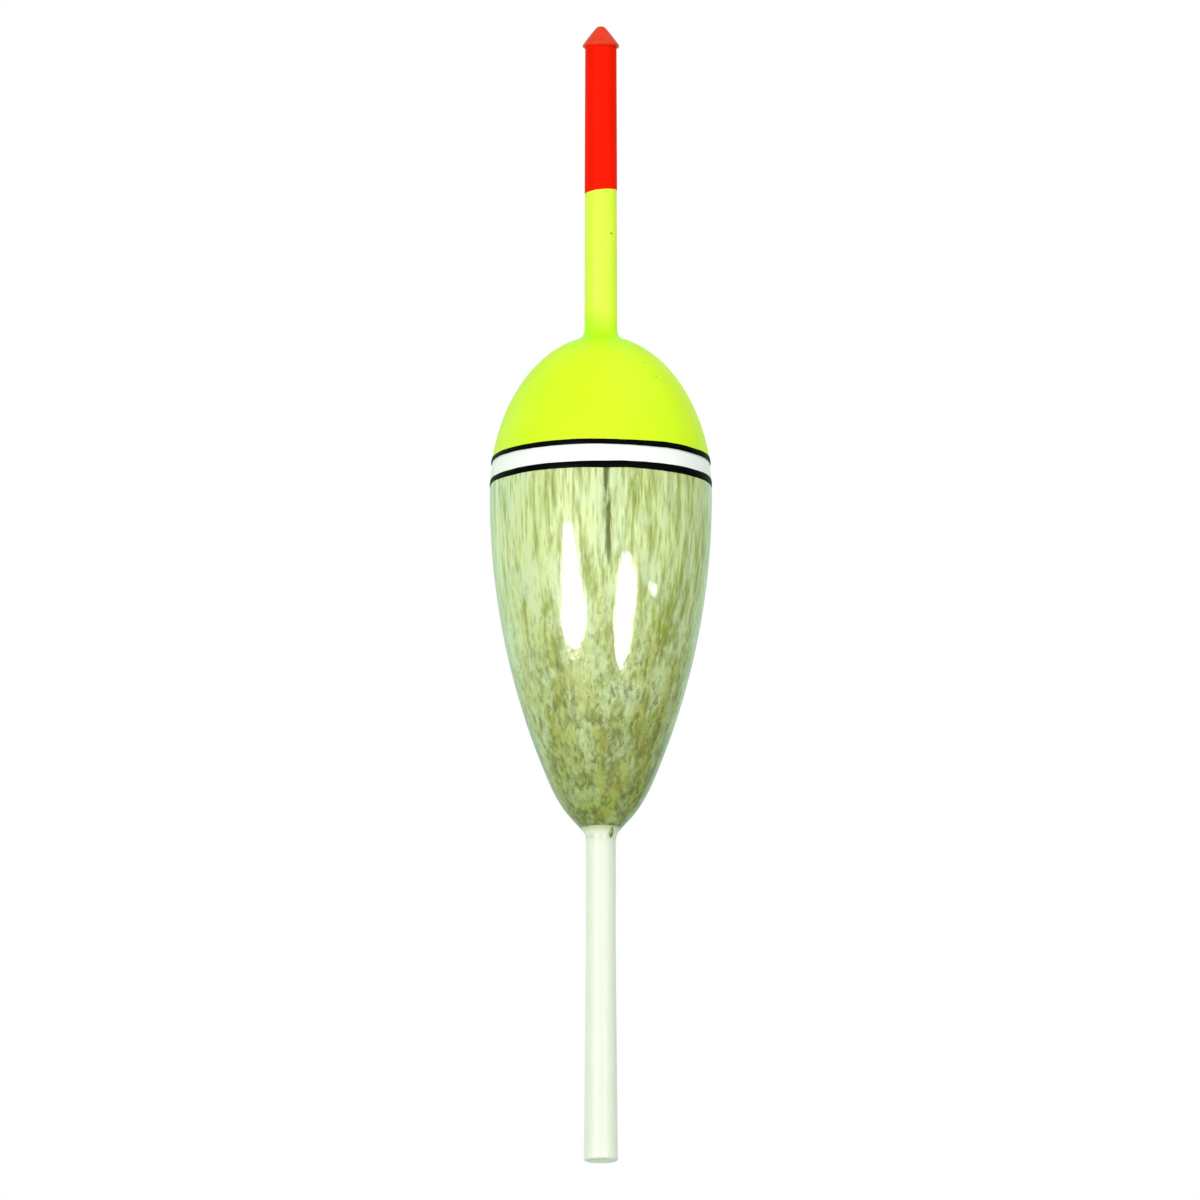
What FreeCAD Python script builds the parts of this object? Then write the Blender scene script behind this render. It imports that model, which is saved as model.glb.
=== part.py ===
import FreeCAD, Part
import math
import os

import Sketcher

# A slip float for fishing: a turned wooden body glued on a plastic line tube, dipped in lacquer
# and paint, with a push-in plug at its tip. Every piece is round about Z, so each one is a
# PartDesign body with one half-section, revolved. Z = 0 is the tube's open lower end, and the
# tip points up. Lengths are in millimetres.

FIRST, LAST, CENTRE = 1, 2, 3        # the sketcher's names for the points of a curve
ORIGIN, HORIZONTAL_AXIS = -1, -1     # the sketch origin is point FIRST of geometry -1
VERTICAL_AXIS = -2

DIMENSIONS = [
    # (alias, value, what it is)
    ("tube_diameter", 3.42, "outside of the line tube"),
    ("tube_bore", 2.2, "hole through the line tube, where the line runs"),
    ("flare_rise", 0.23, "how far the flared lower end stands out from the tube"),
    ("flare_length", 24.0, "how far up the flare reaches"),
    ("lip_round", 0.2, "rounding of the flared end's outer edge"),
    ("lower_stem", 38.4, "from the tube's lower end to the wood"),
    ("body_length", 57.0, "wood, from its lower face to its crown"),
    ("upper_stem", 34.0, "from the wood's crown to the tube's upper end"),
    ("body_diameter", 25.4, "over the lacquer, at the widest section"),
    ("dome_height", 18.5, "wood, from the widest section to the crown"),
    ("face_land", 0.39, "flat lower face of the wood, around its bore"),
    ("shoulder_diameter", 9.3, "where the turned chamfer meets the long side"),
    ("shoulder_height", 2.7, "of the chamfer, above the lower face"),
    ("glue_gap", 0.1, "between the tube and the bore of the wood"),
    ("glue_drop", 0.7, "how far the lower glue fillet runs down the tube"),
    ("glue_fillet", 1.1, "radius of the lower glue fillet"),
    ("neck_rise", 1.0, "how far above the crown the neck fillets end"),
    ("lacquer", 0.08, "clear lacquer on the wood"),
    ("base_coat", 0.1, "white paint on the dome"),
    ("colour_coat", 0.1, "yellow paint on the dome"),
    ("colour_at_neck", 0.18, "yellow paint on the tube, above the neck"),
    ("colour_at_tip", 0.05, "yellow paint on the tube, at its upper end"),
    ("red_coat", 0.04, "red paint over the yellow"),
    ("red_length", 16.7, "red paint, down from the tube's upper end"),
    ("line_rise", 1.18, "from the widest section to the lower black line"),
    ("lower_line_width", 0.74, "lower black line"),
    ("white_band", 1.99, "white that shows between the black lines"),
    ("upper_line_width", 0.6, "upper black line"),
    ("line_paint", 0.05, "black paint on top of what it covers"),
    ("socket_step", 0.2, "how far the plug's seat is reamed beyond the bore, on the radius"),
    ("socket_depth", 9.0, "of that seat, from the tube's upper end"),
    ("plug_clearance", 0.03, "between the shank and its seat, on the radius"),
    ("shank_length", 8.0, "of the plug, below its head"),
    ("shank_chamfer", 0.3, "lead-in at the shank's end"),
    ("shank_wall", 0.67, "of the hollow shank"),
    ("head_overhang", 0.28, "of the plug's head, beyond the painted tube"),
    ("head_height", 2.4, "of the plug's head"),
    ("head_rim", 0.25, "straight edge at the foot of the head"),
    ("head_side", 9.5, "radius of the head's bulging side"),
    ("tip_round", 0.3, "rounding of the head's tip, around the line hole"),
    ("line_hole", 0.5, "hole through the head, where the line leaves"),
    ("funnel_height", 0.8, "of the taper from the shank's hole to the head's"),
    ("funnel_sink", 0.4, "how far that taper starts below the seat"),
]

# Heights and radii that several pieces share, as expressions over the sheet.
TUBE = "Sizes.tube_diameter / 2"
BORE = "(Sizes.tube_diameter / 2 + Sizes.glue_gap)"
FACE = "Sizes.lower_stem"
SHOULDER = "(Sizes.lower_stem + Sizes.shoulder_height)"
WAIST = "(Sizes.lower_stem + Sizes.body_length - Sizes.dome_height)"
NECK = "(Sizes.lower_stem + Sizes.body_length + Sizes.neck_rise)"
TOP = "(Sizes.lower_stem + Sizes.body_length + Sizes.upper_stem)"
LAND = "(Sizes.tube_diameter / 2 + Sizes.glue_gap + Sizes.face_land)"
SOCKET = "(Sizes.tube_bore / 2 + Sizes.socket_step)"
SHANK = "(Sizes.tube_bore / 2 + Sizes.socket_step - Sizes.plug_clearance)"
PAINTED_TIP = "(Sizes.tube_diameter / 2 + Sizes.colour_at_tip + Sizes.red_coat)"
LINE_START = "(" + WAIST + " + Sizes.line_rise)"
BASE_START = "(" + LINE_START + " + Sizes.lower_line_width)"
BAND_END = "(" + BASE_START + " + Sizes.white_band)"
COLOUR_START = "(" + BAND_END + " + Sizes.upper_line_width)"

# How far each skin of the dome stands off the bare wood.
LACQUER = "Sizes.lacquer"
BASE = "Sizes.base_coat"
COLOUR = "(Sizes.base_coat + Sizes.colour_coat)"
LOWER_LINE = "(Sizes.lacquer + Sizes.line_paint)"
UPPER_LINE = "(Sizes.base_coat + Sizes.colour_coat + Sizes.line_paint)"

doc = FreeCAD.newDocument("slip_float")


def write_sheet():
    sheet = doc.addObject("Spreadsheet::Sheet", "Sizes")
    for row, (alias, value, meaning) in enumerate(DIMENSIONS, start=1):
        sheet.set("A%d" % row, alias)
        sheet.set("B%d" % row, str(value))
        sheet.set("C%d" % row, meaning)
        sheet.setAlias("B%d" % row, alias)
    doc.recompute()
    return sheet


sheet = write_sheet()


def size(expression):
    """What an expression over the sheet comes to, as a plain number."""
    return float(sheet.evalExpression(expression))


def skin_radius(offset):
    """Half width of the dome's ellipse for a skin that stands off the wood."""
    return "(Sizes.body_diameter / 2 - Sizes.lacquer + %s)" % offset


def skin_height(offset):
    """Height of that ellipse above the widest section."""
    return "(Sizes.dome_height + %s)" % offset


def radius_at(offset, height):
    """Radius of a dome skin at a height: a point on its ellipse."""
    rise = "((%s - %s) / %s)" % (height, WAIST, skin_height(offset))
    return "(%s * sqrt(1 - %s ^ 2))" % (skin_radius(offset), rise)


def height_at(offset, radius):
    """Height of a dome skin at a radius: a point on its ellipse."""
    share = "(%s / %s)" % (radius, skin_radius(offset))
    return "(%s + %s * sqrt(1 - %s ^ 2))" % (WAIST, skin_height(offset), share)


def neck_touch(offset, stem_radius):
    """Where the neck fillet leaves a dome skin, and the fillet's centre.

    The fillet is tangent to the ellipse and to the stem at the height NECK. Halving finds the
    angle on the ellipse at which both hold.
    """
    wide, tall = size(skin_radius(offset)), size(skin_height(offset))
    waist, neck, stem = size(WAIST), size(NECK), size(stem_radius)
    low, high = math.radians(45), math.acos(stem / wide)
    for _ in range(60):
        angle = (low + high) / 2
        x, y = wide * math.cos(angle), waist + tall * math.sin(angle)
        normal_x, normal_y = tall * math.cos(angle), wide * math.sin(angle)
        length = math.hypot(normal_x, normal_y)
        fillet = (neck - y) * length / normal_y
        if x + fillet * normal_x / length > stem + fillet:
            low = angle
        else:
            high = angle
    return FreeCAD.Vector(x, y), FreeCAD.Vector(stem + fillet, neck)


class Section:
    """The closed half-section of one piece, drawn corner by corner and then revolved.

    A corner is (radius, height). A coordinate given as an expression is bound to the sheet; one
    given as a number is only where the solver starts, and the curves that meet there settle it.
    """

    def __init__(self, label, corners):
        self.body = doc.addObject("PartDesign::Body", label)
        self.body.Label = label
        self.sketch = self.body.newObject("Sketcher::SketchObject", label + "_section")
        plane = [f for f in self.body.Origin.OriginFeatures if f.Role == "XZ_Plane"][0]
        self.sketch.AttachmentSupport = (plane, [""])
        self.sketch.MapMode = "FlatFace"
        self.corners = corners
        self.points = [FreeCAD.Vector(self.number(x), self.number(y)) for x, y in corners]
        self.edges = []          # (geometry, its point at the first corner, at the second)
        self.tangents = set()    # corners where a fillet runs on smoothly

    def number(self, coordinate):
        return size(coordinate) if isinstance(coordinate, str) else coordinate

    def is_free(self, corner):
        return not any(isinstance(coordinate, str) for coordinate in self.corners[corner])

    def ends(self):
        """The corners that the next edge joins."""
        first = len(self.edges)
        return self.points[first], self.points[(first + 1) % len(self.points)]

    def bind(self, constraint, expression):
        index = self.sketch.addConstraint(constraint)
        self.sketch.setExpression("Constraints[%d]" % index, expression)

    def line(self, count=1):
        for _ in range(count):
            first, second = self.ends()
            geometry = self.sketch.addGeometry(Part.LineSegment(first, second), False)
            self.edges.append((geometry, FIRST, LAST))
        return self

    def conic(self, curve, arc_type, centre):
        """The shorter arc of a circle or an ellipse between the next two corners."""
        first, second = self.ends()
        turns_left = (first - centre).cross(second - centre).z > 0
        start, end = (first, second) if turns_left else (second, first)
        arc = arc_type(curve, curve.parameter(start), curve.parameter(end))
        geometry = self.sketch.addGeometry(arc, False)
        order = (FIRST, LAST) if turns_left else (LAST, FIRST)
        self.edges.append((geometry,) + order)
        return geometry

    def circle(self, centre):
        radius = (self.ends()[0] - centre).Length
        curve = Part.Circle(centre, FreeCAD.Vector(0, 0, 1), radius)
        return self.conic(curve, Part.ArcOfCircle, centre)

    def arc_by_height(self, height):
        """An arc whose centre lies at a height, which makes it upright there."""
        first, second = self.ends()
        y = size(height)
        gap = first.x ** 2 + (first.y - y) ** 2 - second.x ** 2 - (second.y - y) ** 2
        geometry = self.circle(FreeCAD.Vector(gap / (2 * (first.x - second.x)), y))
        self.bind(Sketcher.Constraint("DistanceY", ORIGIN, FIRST, geometry, CENTRE, y), height)
        return self

    def arc_by_radius(self, radius, side):
        """An arc of a radius. Its centre is on the left of the way it is drawn, or the right."""
        first, second = self.ends()
        value, chord = size(radius), second - first
        away = math.sqrt(value ** 2 - chord.Length ** 2 / 4)
        left = FreeCAD.Vector(-chord.y, chord.x).normalize()
        geometry = self.circle((first + second) * 0.5 + left * (away if side == "left" else -away))
        self.bind(Sketcher.Constraint("Radius", geometry, value), radius)
        return self

    def neck(self, offset, stem_radius):
        """The fillet between a dome skin and the stem: upright at NECK, tangent to the skin."""
        centre = neck_touch(offset, stem_radius)[1]
        on_skin = [c for c in (len(self.edges), len(self.edges) + 1) if self.is_free(c)][0]
        self.tangents.add(on_skin)
        arc = self.circle(centre)
        self.bind(Sketcher.Constraint("DistanceY", ORIGIN, FIRST, arc, CENTRE, centre.y), NECK)
        return self

    def skin(self, offset):
        """A stretch of a dome skin: an ellipse centred on the axis at the widest section."""
        wide, tall, waist = size(skin_radius(offset)), size(skin_height(offset)), size(WAIST)
        centre = FreeCAD.Vector(0, waist)
        top, right = FreeCAD.Vector(0, waist + tall), FreeCAD.Vector(wide, waist)
        left = FreeCAD.Vector(-wide, waist)
        upright = tall > wide
        curve = Part.Ellipse(top, left, centre) if upright else Part.Ellipse(right, top, centre)
        geometry = self.conic(curve, Part.ArcOfEllipse, centre)
        self.sketch.exposeInternalGeometry(geometry)
        major, minor = geometry + 1, geometry + 2
        self.sketch.addConstraint(
            Sketcher.Constraint("PointOnObject", geometry, CENTRE, VERTICAL_AXIS))
        self.bind(Sketcher.Constraint("DistanceY", ORIGIN, FIRST, geometry, CENTRE, waist), WAIST)
        direction = "Vertical" if upright else "Horizontal"
        self.sketch.addConstraint(Sketcher.Constraint(direction, major))
        widest, highest = (minor, major) if upright else (major, minor)
        self.bind(Sketcher.Constraint("Distance", widest, 2 * wide), "2 * " + skin_radius(offset))
        self.bind(Sketcher.Constraint("Distance", highest, 2 * tall), "2 * " + skin_height(offset))
        return self

    def join_corners(self):
        for corner in range(len(self.corners)):
            before, _, end = self.edges[corner - 1]
            after, start, _ = self.edges[corner]
            kind = "Tangent" if corner in self.tangents else "Coincident"
            self.sketch.addConstraint(Sketcher.Constraint(kind, before, end, after, start))

    def pin_corners(self):
        for (x, y), point, (edge, start, _) in zip(self.corners, self.points, self.edges):
            if isinstance(x, str):
                self.bind(Sketcher.Constraint("DistanceX", ORIGIN, FIRST, edge, start, point.x), x)
            if y == 0:
                self.sketch.addConstraint(
                    Sketcher.Constraint("PointOnObject", edge, start, HORIZONTAL_AXIS))
            elif isinstance(y, str):
                self.bind(Sketcher.Constraint("DistanceY", ORIGIN, FIRST, edge, start, point.y), y)

    def revolve(self):
        self.join_corners()
        self.pin_corners()
        turned = self.body.newObject("PartDesign::Revolution", self.body.Name + "_turned")
        turned.Profile = self.sketch
        turned.ReferenceAxis = (self.sketch, ["V_Axis"])
        turned.Angle = 360
        self.sketch.Visibility = False
        return self.body


def line_tube():
    """Drawn plastic tube: flared at the foot, reamed at the top for the plug."""
    bore, floor = "Sizes.tube_bore / 2", TOP + " - Sizes.socket_depth"
    flare = TUBE + " + Sizes.flare_rise"
    section = Section("line_tube", [
        (bore, 0),
        (flare + " - Sizes.lip_round", 0),
        (flare, "Sizes.lip_round"),
        (TUBE, "Sizes.flare_length"),
        (TUBE, TOP),
        (SOCKET, TOP),
        (SOCKET, floor),
        (bore, floor),
    ])
    section.line().arc_by_height("Sizes.lip_round").arc_by_height("Sizes.flare_length").line(5)
    return section.revolve()


def wood_body():
    """Turned balsa body: chamfered foot, long bulging side, elliptic dome, straight bore."""
    section = Section("wood_body", [
        (BORE, FACE),
        (LAND, FACE),
        ("Sizes.shoulder_diameter / 2", SHOULDER),
        (size(skin_radius("0")), WAIST),
        (BORE, size(height_at("0", BORE))),
    ])
    section.line(2).arc_by_height(WAIST).skin("0").line()
    return section.revolve()


def bore_glue():
    """Sleeve of glue between the tube and the wood."""
    crown = height_at("0", BORE)
    section = Section("bore_glue", [(TUBE, FACE), (BORE, FACE), (BORE, crown), (TUBE, crown)])
    return section.line(4).revolve()


def lower_glue_fillet():
    """Ring of glue and lacquer that has run down from the wood on to the tube."""
    section = Section("lower_glue_fillet", [
        (TUBE, FACE),
        (TUBE, FACE + " - Sizes.glue_drop"),
        (LAND + " + Sizes.lacquer", FACE),
    ])
    return section.line().arc_by_radius("Sizes.glue_fillet", "right").line().revolve()


def upper_glue_fillet():
    """Ring of glue in the corner between the dome and the tube, under the paint."""
    crown = height_at("0", BORE)
    touch, _ = neck_touch("0", TUBE)
    section = Section("upper_glue_fillet", [
        (TUBE, crown),
        (BORE, size(crown)),
        (touch.x, touch.y),
        (TUBE, NECK),
    ])
    section.line().skin("0").neck("0", TUBE).line()
    return section.revolve()


def clear_lacquer():
    """Clear coat on the bare wood, from its lower face to the foot of the white paint."""
    inner, outer = size(skin_radius("0")), size(skin_radius(LACQUER))
    section = Section("clear_lacquer", [
        (LAND + " + Sizes.lacquer", FACE),
        ("Sizes.shoulder_diameter / 2 + Sizes.lacquer", SHOULDER),
        (outer, WAIST),
        (size(radius_at(LACQUER, BASE_START)), BASE_START),
        (size(radius_at("0", BASE_START)), BASE_START),
        (inner, WAIST),
        ("Sizes.shoulder_diameter / 2", SHOULDER),
        (LAND, FACE),
    ])
    section.line().arc_by_height(WAIST).skin(LACQUER).line()
    section.skin("0").arc_by_height(WAIST).line(2)
    return section.revolve()


def white_base_coat():
    """White dip over the dome, up to the top of the neck."""
    wood_touch, _ = neck_touch("0", TUBE)
    base_touch, _ = neck_touch(BASE, TUBE + " + " + BASE)
    section = Section("white_base_coat", [
        (size(radius_at(BASE, BASE_START)), BASE_START),
        (base_touch.x, base_touch.y),
        (TUBE + " + " + BASE, NECK),
        (TUBE, NECK),
        (wood_touch.x, wood_touch.y),
        (size(radius_at("0", BASE_START)), BASE_START),
    ])
    section.skin(BASE).neck(BASE, TUBE + " + " + BASE).line()
    section.neck("0", TUBE).skin("0").line()
    return section.revolve()


def chartreuse_coat():
    """Yellow dip over the white and up the tube, thinner towards the tip."""
    stem = TUBE + " + Sizes.colour_at_neck"
    base_touch, _ = neck_touch(BASE, TUBE + " + " + BASE)
    colour_touch, _ = neck_touch(COLOUR, stem)
    section = Section("chartreuse_coat", [
        (size(radius_at(COLOUR, COLOUR_START)), COLOUR_START),
        (colour_touch.x, colour_touch.y),
        (stem, NECK),
        (TUBE + " + Sizes.colour_at_tip", TOP),
        (TUBE, TOP),
        (TUBE, NECK),
        (TUBE + " + " + BASE, NECK),
        (base_touch.x, base_touch.y),
        (size(radius_at(BASE, COLOUR_START)), COLOUR_START),
    ])
    section.skin(COLOUR).neck(COLOUR, stem).line(4)
    section.neck(BASE, TUBE + " + " + BASE).skin(BASE).line()
    return section.revolve()


def red_tip_coat():
    """Red dip over the top of the yellow stem."""
    start = "(" + TOP + " - Sizes.red_length)"
    thinning = "(Sizes.colour_at_neck - Sizes.colour_at_tip)"
    share = "(Sizes.red_length / (%s - %s))" % (TOP, NECK)
    yellow_tip = TUBE + " + Sizes.colour_at_tip"
    yellow_start = "%s + %s * %s" % (yellow_tip, thinning, share)
    section = Section("red_tip_coat", [
        (yellow_start, start),
        (yellow_start + " + Sizes.red_coat", start),
        (PAINTED_TIP, TOP),
        (yellow_tip, TOP),
    ])
    return section.line(4).revolve()


def black_line(label, covered, surface, start, end):
    """A brushed ring on one dome skin, from one height to another."""
    section = Section(label, [
        (size(radius_at(surface, start)), start),
        (size(radius_at(surface, end)), end),
        (size(radius_at(covered, end)), end),
        (size(radius_at(covered, start)), start),
    ])
    return section.skin(surface).line().skin(covered).line().revolve()


def tip_plug():
    """Moulded plug: a bulging cone with a line hole, on a hollow push-in shank."""
    top, shank_end = TOP + " + Sizes.head_height", TOP + " - Sizes.shank_length"
    hole, shank_bore = "Sizes.line_hole / 2", SHANK + " - Sizes.shank_wall"
    tip, head = hole + " + Sizes.tip_round", PAINTED_TIP + " + Sizes.head_overhang"
    tip_start = top + " - Sizes.tip_round"
    funnel_start = TOP + " - Sizes.funnel_sink"
    section = Section("tip_plug", [
        (head, TOP),
        (head, TOP + " + Sizes.head_rim"),
        (tip, tip_start),
        (hole, top),
        (hole, funnel_start + " + Sizes.funnel_height"),
        (shank_bore, funnel_start),
        (shank_bore, shank_end),
        (SHANK + " - Sizes.shank_chamfer", shank_end),
        (SHANK, shank_end + " + Sizes.shank_chamfer"),
        (SHANK, TOP),
    ])
    section.line().arc_by_radius("Sizes.head_side", "left").arc_by_height(tip_start).line(7)
    return section.revolve()


pieces = [
    line_tube(),
    wood_body(),
    bore_glue(),
    lower_glue_fillet(),
    upper_glue_fillet(),
    clear_lacquer(),
    white_base_coat(),
    chartreuse_coat(),
    red_tip_coat(),
    black_line("lower_black_line", LACQUER, LOWER_LINE, LINE_START, BASE_START),
    black_line("upper_black_line", BASE, UPPER_LINE, BAND_END, COLOUR_START),
    tip_plug(),
]
doc.recompute()

for item in doc.Objects:
    if "Invalid" in item.State or "Error" in item.State:
        raise RuntimeError("%s did not recompute: %s" % (item.Name, item.State))
for piece in pieces:
    if piece.Shape.isNull() or not piece.Shape.isValid() or len(piece.Shape.Solids) != 1:
        raise RuntimeError("%s is not one valid solid" % piece.Label)

os.makedirs("parts", exist_ok=True)
for piece in pieces:
    piece.Shape.exportStep(os.path.join("parts", piece.Label + ".step"))
    print("%-18s %10.4f mm3" % (piece.Label, piece.Shape.Volume))
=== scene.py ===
"""Slip float for angling: a turned balsa body on a drawn plastic tube, dipped in clear lacquer and float enamels.

A moulded plug sits in its tip. Run as a script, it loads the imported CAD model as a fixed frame, builds the looks round
it and sets the studio. Every length is in metres, and every section is (radius, height) about the float's own axis.
"""

import math

import bmesh
import bpy
from bpy.props import FloatProperty, FloatVectorProperty, PointerProperty
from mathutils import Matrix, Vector


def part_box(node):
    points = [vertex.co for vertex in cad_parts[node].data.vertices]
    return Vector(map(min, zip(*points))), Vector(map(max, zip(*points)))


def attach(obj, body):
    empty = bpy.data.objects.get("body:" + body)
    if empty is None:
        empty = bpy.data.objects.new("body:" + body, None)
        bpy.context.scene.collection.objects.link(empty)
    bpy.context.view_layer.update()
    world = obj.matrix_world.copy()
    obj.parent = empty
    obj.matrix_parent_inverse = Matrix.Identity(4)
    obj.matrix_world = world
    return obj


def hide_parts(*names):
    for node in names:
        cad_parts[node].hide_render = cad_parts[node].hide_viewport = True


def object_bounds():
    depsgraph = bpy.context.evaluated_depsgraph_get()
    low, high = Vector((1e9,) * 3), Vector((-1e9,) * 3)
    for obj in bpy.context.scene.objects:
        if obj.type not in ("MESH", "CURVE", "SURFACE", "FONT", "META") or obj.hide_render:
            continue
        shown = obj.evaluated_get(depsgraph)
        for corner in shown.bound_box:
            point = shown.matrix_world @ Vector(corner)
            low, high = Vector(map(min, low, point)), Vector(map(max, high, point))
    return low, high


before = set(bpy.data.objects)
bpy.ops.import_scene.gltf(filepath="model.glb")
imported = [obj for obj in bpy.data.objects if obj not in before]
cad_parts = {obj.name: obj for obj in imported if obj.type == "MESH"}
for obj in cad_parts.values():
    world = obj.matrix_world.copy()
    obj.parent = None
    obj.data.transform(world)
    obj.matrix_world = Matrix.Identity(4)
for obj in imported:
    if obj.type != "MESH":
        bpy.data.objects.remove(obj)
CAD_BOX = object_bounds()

bl_info = {
    "name": "Slip Float",
    "version": (1, 0, 0),
    "blender": (4, 5, 0),
    "location": "3D View > Sidebar > Slip Float",
    "description": "Builds a dipped balsa slip float round its CAD frame",
    "category": "Object",
}

MM = 0.001
WELD = 1e-6  # points this near are one point
APART = 0.01 * MM  # between two skins that would else lie in one face
WAVY = (0, 0, 1)  # joins fully in the waves of a dipped skin
USUAL = {1: 0.3, 2: 0.7}  # nearly all of a noise pattern lies between these

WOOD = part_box("wood_body")
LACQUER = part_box("clear_lacquer")
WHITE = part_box("white_base_coat")
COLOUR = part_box("chartreuse_coat")
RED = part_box("red_tip_coat")
LOWER_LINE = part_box("lower_black_line")
UPPER_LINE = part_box("upper_black_line")
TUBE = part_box("line_tube")
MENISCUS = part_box("lower_glue_fillet")
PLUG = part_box("tip_plug")


def linear(code):
    """A colour written as sRGB hex, as the linear values that Blender works in."""
    parts = [int(code[i : i + 2], 16) / 255 for i in (1, 3, 5)]
    return [c / 12.92 if c <= 0.04045 else ((c + 0.055) / 1.055) ** 2.4 for c in parts]


def number(name, description, default, **more):
    return FloatProperty(name=name, description=description, default=default, **more)


def length(name, description, default):
    return number(name, description, default, unit="LENGTH", precision=5)


def slant(name, description, degrees):
    return number(name, description, math.radians(degrees), subtype="ANGLE")


def tint(name, description, default):
    return FloatVectorProperty(name=name, description=description, default=default, subtype="COLOR", min=0, max=1)


def colour(name, description, code):
    return tint(name, description, linear(code))


# ---------------------------------------------------------------- sizes and colours


class BodySizes(bpy.types.PropertyGroup):
    waist_radius: length("Waist radius", "Bare balsa at its widest", WOOD[1].x)
    dome_height: length("Dome height", "From the waist to where the dome would close", 18.5 * MM)
    shoulder_radius: length("Shoulder radius", "Where the long side meets the cone at the foot", 4.65 * MM)
    shoulder_rise: length("Shoulder rise", "Height of that cone", 2.7 * MM)
    foot_radius: length("Foot radius", "The flat ring of wood round the tube", MENISCUS[1].x)
    bore_radius: length("Bore radius", "Hole through the wood for the tube and its glue", 1.81 * MM)
    lacquer: length("Lacquer thickness", "Clear lacquer on the wood", LACQUER[1].x - WOOD[1].x)
    lacquer_waves: length("Lacquer waves", "How deep the hollows in the dipped lacquer are", 0.012 * MM)


class CoatSizes(bpy.types.PropertyGroup):
    white: length("White thickness", "White undercoat on the dome", 0.1 * MM)
    chartreuse: length("Chartreuse thickness", "Chartreuse over the white", 0.1 * MM)
    neck_rise: length("Neck rise", "How far the paint climbs the stem before it is straight", 1.0 * MM)
    stem_paint_low: length("Stem paint at the neck", "Paint over the tube where it leaves the body", 0.18 * MM)
    stem_paint_high: length("Stem paint at the tip", "Paint over the tube at its open end", 0.05 * MM)
    red: length("Red thickness", "Red over the chartreuse", 0.04 * MM)
    red_tilt: slant("Red tilt", "How far from level the red coat's lower edge was dipped", 6.5)
    line: length("Line thickness", "How proud a brushed line stands at its middle", 0.05 * MM)
    line_run: length("Line run", "How far the wet paint of a line ran past its band", 0.02 * MM)
    line_fuller: number("Line fuller", "How much wider a line gets for each unit to the right", 0.007)
    line_waver: length("Line waver", "How far a line's edge strays from its mean", 0.07 * MM)


class StemSizes(bpy.types.PropertyGroup):
    radius: length("Tube radius", "Outside of the drawn tube", 1.71 * MM)
    bore_radius: length("Tube bore", "Radius of the hole that the line runs through", 1.1 * MM)
    socket_radius: length("Socket radius", "Reamed top of the bore that grips the plug", 1.3 * MM)
    socket_depth: length("Socket depth", "How deep that reaming goes", 9 * MM)
    flare_radius: length("Flare radius", "Outside of the tube at its open lower end", TUBE[1].x)
    flare_length: length("Flare length", "How far up the tube the flare fades out", 24 * MM)
    lip: length("Lip round", "Round on the tube's cut end", 0.2 * MM)


class PlugSizes(bpy.types.PropertyGroup):
    head_radius: length("Head radius", "The plug's widest ring, over the tube's end", PLUG[1].x)
    head_height: length("Head height", "From the tube's end to the plug's tip", PLUG[1].z - TUBE[1].z)
    rim: length("Rim height", "Straight band under the head's cone", 0.25 * MM)
    nose_radius: length("Nose radius", "Where the cone turns into the rounded tip", 0.80 * MM)
    nose_height: length("Nose height", "From there to the tip", 0.46 * MM)
    shank_radius: length("Shank radius", "The part that sits in the tube", 1.27 * MM)
    hole_radius: length("Hole radius", "Line hole through the tip", 0.25 * MM)
    funnel_radius: length("Funnel radius", "Mouth inside the shank that leads the line to the hole", 0.6 * MM)


class FloatColours(bpy.types.PropertyGroup):
    balsa_pale: colour("Pale balsa", "Soft early wood under the lacquer", "#e0f0a6")
    # Olive and end grain are blended in towards the foot, partly as painted shade of the float's underside.
    balsa_olive: colour("Olive balsa", "Darker bands where the lacquer soaked in", "#94a73c")
    balsa_deep: colour("End grain", "Wood near the foot, where the fibres are cut across", "#525c10")
    balsa_chalky: colour("Chalky balsa", "Patches that drank no lacquer", "#dcf0bc")
    balsa_warm: colour("Warm balsa", "Patches near the foot that drank the most", "#b0b03c")
    fleck: colour("Flecks", "Brown flecks of bark dust in the wood", "#686218")
    vessel: colour("Vessel lines", "Open pores, seen as fine dark lines and dots", "#626a26")
    chartreuse: colour("Chartreuse", "Fluorescent enamel on the dome", "#caee1a")
    chartreuse_stem: colour("Chartreuse stem", "The same enamel, thinner on the stem", "#d3ee44")
    chartreuse_pooled: colour("Chartreuse pooled", "The same enamel where it gathered at the neck", "#a8f00a")
    red: colour("Signal red", "Fluorescent enamel on the tip", "#fd1b03")
    white: colour("White", "Undercoat that shows as the band", "#fcfffb")
    black: colour("Black", "Brushed lines", "#040604")
    tube: colour("Tube", "Milky drawn plastic", "#dfe5d4")
    glue: colour("Glue", "Cured glue, seen against the wood and tube", "#e6efd2")
    plug: colour("Plug", "Moulded plastic", "#f8401a")
    nib: colour("Dust", "Specks that settled in the wet enamel", "#6d7a14")


class StudioSettings(bpy.types.PropertyGroup):
    lens: number("Lens", "Focal length on a 36 mm sensor", 1050.0, unit="CAMERA")
    distance: length("Camera distance", "From the camera to the float", 4.0)
    elevation: slant("Camera elevation", "Below zero, the camera looks up at the float", -10.5)
    fill: number("Fill light", "Light of the room in front of the float", 0.42)
    behind: number("Light behind", "Light of the room behind the float, as the float catches it", 0.72)
    back_tint: tint("Tint behind", "Colour of the walls beside and behind the float", (0.72, 0.98, 0.78))
    window: number("Window light", "Radiance of a softbox of strength 1", 10.0)
    floor_drop: length("Floor drop", "How far the floor lies under the hanging float", 6.0)


# ---------------------------------------------------------------- nodes


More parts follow.
